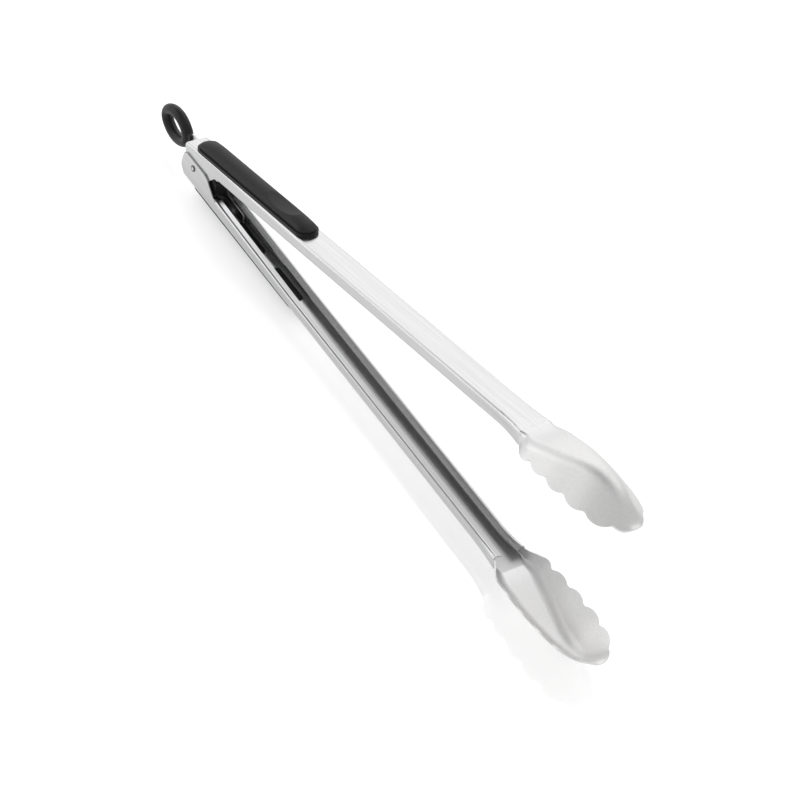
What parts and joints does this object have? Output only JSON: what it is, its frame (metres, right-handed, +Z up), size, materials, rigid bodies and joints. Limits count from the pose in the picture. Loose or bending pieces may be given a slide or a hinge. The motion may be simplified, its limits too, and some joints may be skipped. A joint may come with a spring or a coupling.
{
  "type": "kitchen tongs",
  "caption": "Long sprung kitchen tongs: channel-section steel arms with scalloped spoon jaws, black grips on their backs, and an oval pull ring that works a sliding lock.",
  "frame": {"origin": "on the surface that the tongs lie on, under the middle of their bounding box", "axes": "+X along the lower arm from the pull ring to the jaws, +Y along the hinge pin, +Z up from the lower arm's back towards the raised upper arm"},
  "size_m": [0.4506, 0.0354, 0.118],
  "materials": {
    "steel": "polished stamped sheet, satin in the jaws",
    "pin_steel": "plain turned",
    "spring_wire": "drawn wire",
    "lock_steel": "plain sheet",
    "black_nylon": "moulded",
    "ring_plastic": "moulded, half gloss",
    "grip_base": "moulded",
    "grip_pad": "soft, matt"
  },
  "bodies": {
    "lower_half": {"lower_arm": "steel", "hinge_pin": "pin_steel", "spring_bush": "black_nylon", "torsion_spring": "spring_wire", "lower_grip_base": "grip_base", "lower_grip_pad": "grip_pad"},
    "upper_half": {"upper_arm": "steel", "upper_grip_base": "grip_base", "upper_grip_pad": "grip_pad"},
    "lock": {"lock_plate": "lock_steel", "lock_slider": "black_nylon", "pull_ring": "ring_plastic"}
  },
  "joints": [
    {"name": "arm_hinge", "type": "hinge", "parent": "lower_half", "child": "upper_half", "pos_m": [-0.1711, 0, 0.0195], "axis": [0, 1, 0], "range_deg": [0, 12.65], "stiffness_Nm_per_rad": 0.5, "springref_deg": -40.11, "deforming": ["torsion_spring"]},
    {"name": "lock_slide", "type": "slide", "parent": "lower_half", "child": "lock", "axis": [-1, 0, 0], "range_m": [0, 0.008]}
  ]
}
